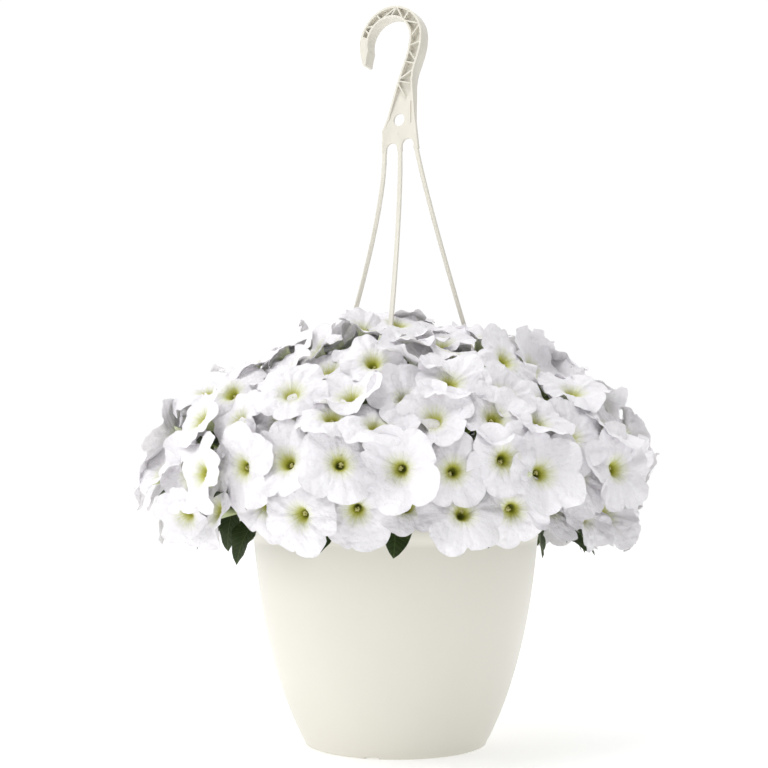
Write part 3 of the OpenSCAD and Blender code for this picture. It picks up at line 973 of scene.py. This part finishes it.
for plant in PLANTS:
    places = bud_places(f"plant_{plant}_buds")
    buds = [(outer - axis * BUD_LENGTH, axis, rng.uniform(32, 36) * MM, rng.uniform(3.6, 4.4) * MM,
             5.0, 0.62, 0.2, rng.uniform(-0.05, 0.05)) for inner, outer, axis in places]
    feet = [(inner, axis, BUD_STALK, 0.9 * MM, STALK_BLUNT, 0.0, 0.0, rng.uniform(-0.04, 0.04))
            for inner, outer, axis in places]
    points = rod_cloud(f"{plant}_bud_points", buds, rng)
    mesh = grow(f"{plant}_buds", rods, points, Around=30, Along=22, Skin=bud_skin)
    piece(f"plant_{plant}_bud_petals", mesh, "petal", f"plant_{plant}_buds")
    points = rod_cloud(f"{plant}_bud_stalk_points", feet, rng)
    mesh = grow(f"{plant}_bud_stalks", rods, points, Around=8, Along=8)
    piece(f"plant_{plant}_bud_stalks", mesh, "stem")
    print("plant", plant, "has", len(places), "buds")

# %% [markdown]
# ## Pot and hanger
#
# These keep the frame's own shape. A copy is merged and given smooth shading where the surface is
# smooth; each hanger copy also gets a small round along each moulded edge. Each stands in for the
# plain solid.

# %% Copy a CAD node as a clean mesh
def clean_copy(node, name, flatten=True):
    """A merged copy of a CAD node's mesh; with flatten, its flat regions become single faces."""
    mesh = bmesh.new()
    mesh.from_mesh(nodes[node].data)
    bmesh.ops.remove_doubles(mesh, verts=mesh.verts, dist=2e-6)
    if flatten:
        bmesh.ops.dissolve_limit(mesh, angle_limit=math.radians(0.6), verts=mesh.verts, edges=mesh.edges)
    bmesh.ops.recalc_face_normals(mesh, faces=mesh.faces)
    copy = bpy.data.meshes.new(name)
    mesh.to_mesh(copy)
    mesh.free()
    return copy


def shade(mesh, degrees, material):
    mesh.materials.clear()
    mesh.materials.append(material)
    mesh.shade_smooth()
    mesh.set_sharp_from_angle(angle=math.radians(degrees))
    return mesh


def bevelled(mesh, width, degrees, segments=2):
    """The mesh with a small round along its edges."""
    source = bpy.data.objects.new(mesh.name + "_source", mesh)
    bpy.context.scene.collection.objects.link(source)
    bevel = source.modifiers.new("round", "BEVEL")
    bevel.width, bevel.segments, bevel.limit_method = width, segments, "ANGLE"
    bevel.angle_limit = math.radians(degrees)
    bpy.context.view_layer.update()
    graph = bpy.context.evaluated_depsgraph_get()
    made = bpy.data.meshes.new_from_object(source.evaluated_get(graph))
    bpy.data.objects.remove(source)
    return made


pot_mesh = shade(clean_copy("pot", "pot_shell", False), 30, pot_plastic)
piece("pot_shell", pot_mesh, "pot_plastic", "pot")
# The hanger mouldings get the darker ivory, which is painted shade.
for node in [n for n in nodes if n.startswith("hanger_")]:
    mesh = bevelled(clean_copy(node, node + "_moulding"), 0.22 * MM, 40)
    piece(node + "_moulding", shade(mesh, 34, hanger_plastic), "hanger_plastic", node)
    print(node, len(mesh.polygons), "faces")

# %% [markdown]
# ## Stems, crowns and potting mix
#
# A petunia's stems are soft and hairy; its crown is woody and knobbly where last season's shoots
# were cut; the potting mix is peat with bark in it. All three keep the shapes of the CAD, so their
# meshes are copied. The crown's is cut finer and pushed about by noise, because wood has a skin
# with lumps that a bump alone would not show at its outline.

# %% Stems, crowns and potting mix
def roughened(mesh, depth, scale):
    """The mesh cut finer, its surface pushed in and out by noise."""
    work = bmesh.new()
    work.from_mesh(mesh)
    for _ in range(3):
        long_edges = [e for e in work.edges if e.calc_length() > 2.5 * MM]
        bmesh.ops.subdivide_edges(work, edges=long_edges, cuts=1)
    bmesh.ops.triangulate(work, faces=work.faces)
    work.normal_update()
    moves = [v.normal * (blender_noise.noise(v.co * scale) + 0.5 * blender_noise.noise(v.co * scale * 2.6))
             for v in work.verts]
    for vert, move in zip(work.verts, moves):
        vert.co += move * depth
    work.to_mesh(mesh)
    work.free()
    return mesh


for branch in BRANCHES:
    mesh = shade(clean_copy(f"branch_{branch}_stem", f"{branch}_stem_round", False), 60, stem)
    piece(f"branch_{branch}_stem_round", mesh, "stem", f"branch_{branch}_stem")
for plant in PLANTS:
    mesh = roughened(clean_copy(f"plant_{plant}_crown", f"{plant}_crown_wood", False), 1.1 * MM, 130.0)
    piece(f"plant_{plant}_crown_wood", shade(mesh, 70, crown_bark), "crown_wood", f"plant_{plant}_crown")
mesh = shade(clean_copy("potting_mix", "potting_mix_body", False), 30, potting_mix)
piece("potting_mix_body", mesh, "potting_mix", "potting_mix")
print("stems, crowns and mix ready")

# %% [markdown]
# A layer of loose bark and perlite lies on the mix. Each crumb is one short rod of the same tree,
# lying at its own angle, and is given only a few faces because there are so many.

# %% Loose crumbs on the mix
CROWN_CLEAR = 26 * MM
DOME_EDGE = 100 * MM


def crumb_rows(count, length, width, rng):
    low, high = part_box("potting_mix")
    top, reach = high.z, high.x * 0.93
    crowns = [sum(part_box(f"plant_{p}_crown"), Vector()) / 2 for p in PLANTS]
    rows = []
    while len(rows) < count:
        at = Vector((rng.uniform(-reach, reach), rng.uniform(-reach, reach), top))
        if at.xy.length > reach or min((at.xy - c.xy).length for c in crowns) < CROWN_CLEAR:
            continue
        at.z -= rng.uniform(0.2, 1.2) * MM + max(0.0, at.xy.length - DOME_EDGE) * 0.08
        lie = (rng.uniform(-1, 1), rng.uniform(-1, 1), rng.uniform(-0.25, 0.25))
        size = rng.uniform(0.6, 1.5)
        rows.append((at, lie, length * size, width * size, 3.0,
                     rng.uniform(0, 0.3), rng.uniform(0, 0.5), 0.0))
    return rows


CRUMBS = (("bark", bark, 1500, 5.0, 1.5), ("perlite", perlite, 260, 2.6, 1.3))
for name, skin, count, length, width in CRUMBS:
    rows = crumb_rows(count, length * MM, width * MM, rng)
    points = rod_cloud(f"{name}_points", rows, rng)
    mesh = grow(f"{name}_crumbs", rods, points, Around=6, Along=6, Skin=skin)
    piece(f"{name}_crumbs", mesh, "potting_mix")
    print(name, len(rows), "crumbs")

# %% [markdown]
# ## Floor, light and camera
#
# A pale floor and a pale room. Most of the light is soft and comes from all round. A large soft
# lamp high at the front and a weaker one low at the left shape the pot and the petals.

# %% Floor and world
PAPER_GLOW = 0.38
ROOM_GLOW = 0.27
BACK_GLOW = 0.75
CEILING_GLOW = 0.30


def floor_plane(half_side=6.0):
    mesh = bpy.data.meshes.new("floor")
    s = half_side
    mesh.from_pydata([(-s, -s, 0), (s, -s, 0), (s, s, 0), (-s, s, 0)], [], [(0, 1, 2, 3)])
    made = bpy.data.objects.new("floor", mesh)
    bpy.context.scene.collection.objects.link(made)
    material, bench, shader = finish("floor_paper", 0.9)
    shader.inputs["Base Color"].default_value = (0.90, 0.90, 0.90, 1)
    shader.inputs["Emission Color"].default_value = (1, 1, 1, 1)
    shader.inputs["Emission Strength"].default_value = PAPER_GLOW
    mesh.materials.append(material)
    return made


floor_plane()
world = bpy.data.worlds.new("studio")
bpy.context.scene.world = world
world.use_nodes = True
bench = Bench(world.node_tree)
east, north, up = split(bench.add("ShaderNodeTexCoord", {}, {}, out=0))
glow = ROOM_GLOW + ease(north, -0.1, 0.35) * BACK_GLOW + ease(up, 0.2, 1.0) * CEILING_GLOW
background = world.node_tree.nodes["Background"]
world.node_tree.links.new(glow.socket, background.inputs["Strength"])
background.inputs["Color"].default_value = (1, 1, 1, 1)


def lamp(name, place, target, side, watts):
    data = bpy.data.lights.new(name, "AREA")
    data.size, data.energy = side, watts
    made = bpy.data.objects.new(name, data)
    made.location = place
    made.rotation_mode = "QUATERNION"
    made.rotation_quaternion = (Vector(target) - Vector(place)).to_track_quat("-Z", "Y")
    bpy.context.scene.collection.objects.link(made)
    return made


lamp("top", (-0.6, -1.1, 2.3), (0, 0, 0.3), 1.1, 28)
lamp("left", (-2.0, -1.0, 0.7), (0, 0, 0.2), 1.2, 10)
print("floor, world and two lamps ready")

# %% [markdown]
# The camera stands about a metre away, at the height of the pot's rim, and looks up by a few
# degrees. The lens is a short telephoto one, so the pot's foot and rim are both nearly flat.

# %% Camera
CAMERA_AT = (-0.0104, -1.130, 0.210)
CAMERA_PITCH = 95.47
FOCAL_LENGTH, SENSOR_WIDTH = 58.55, 36
lens = bpy.data.cameras.new("camera")
lens.lens, lens.sensor_width = FOCAL_LENGTH, SENSOR_WIDTH
camera = bpy.data.objects.new("camera", lens)
camera.location = CAMERA_AT
camera.rotation_euler = (math.radians(CAMERA_PITCH), 0, 0)
bpy.context.scene.collection.objects.link(camera)
bpy.context.scene.camera = camera
bpy.context.scene.view_settings.view_transform = "Standard"
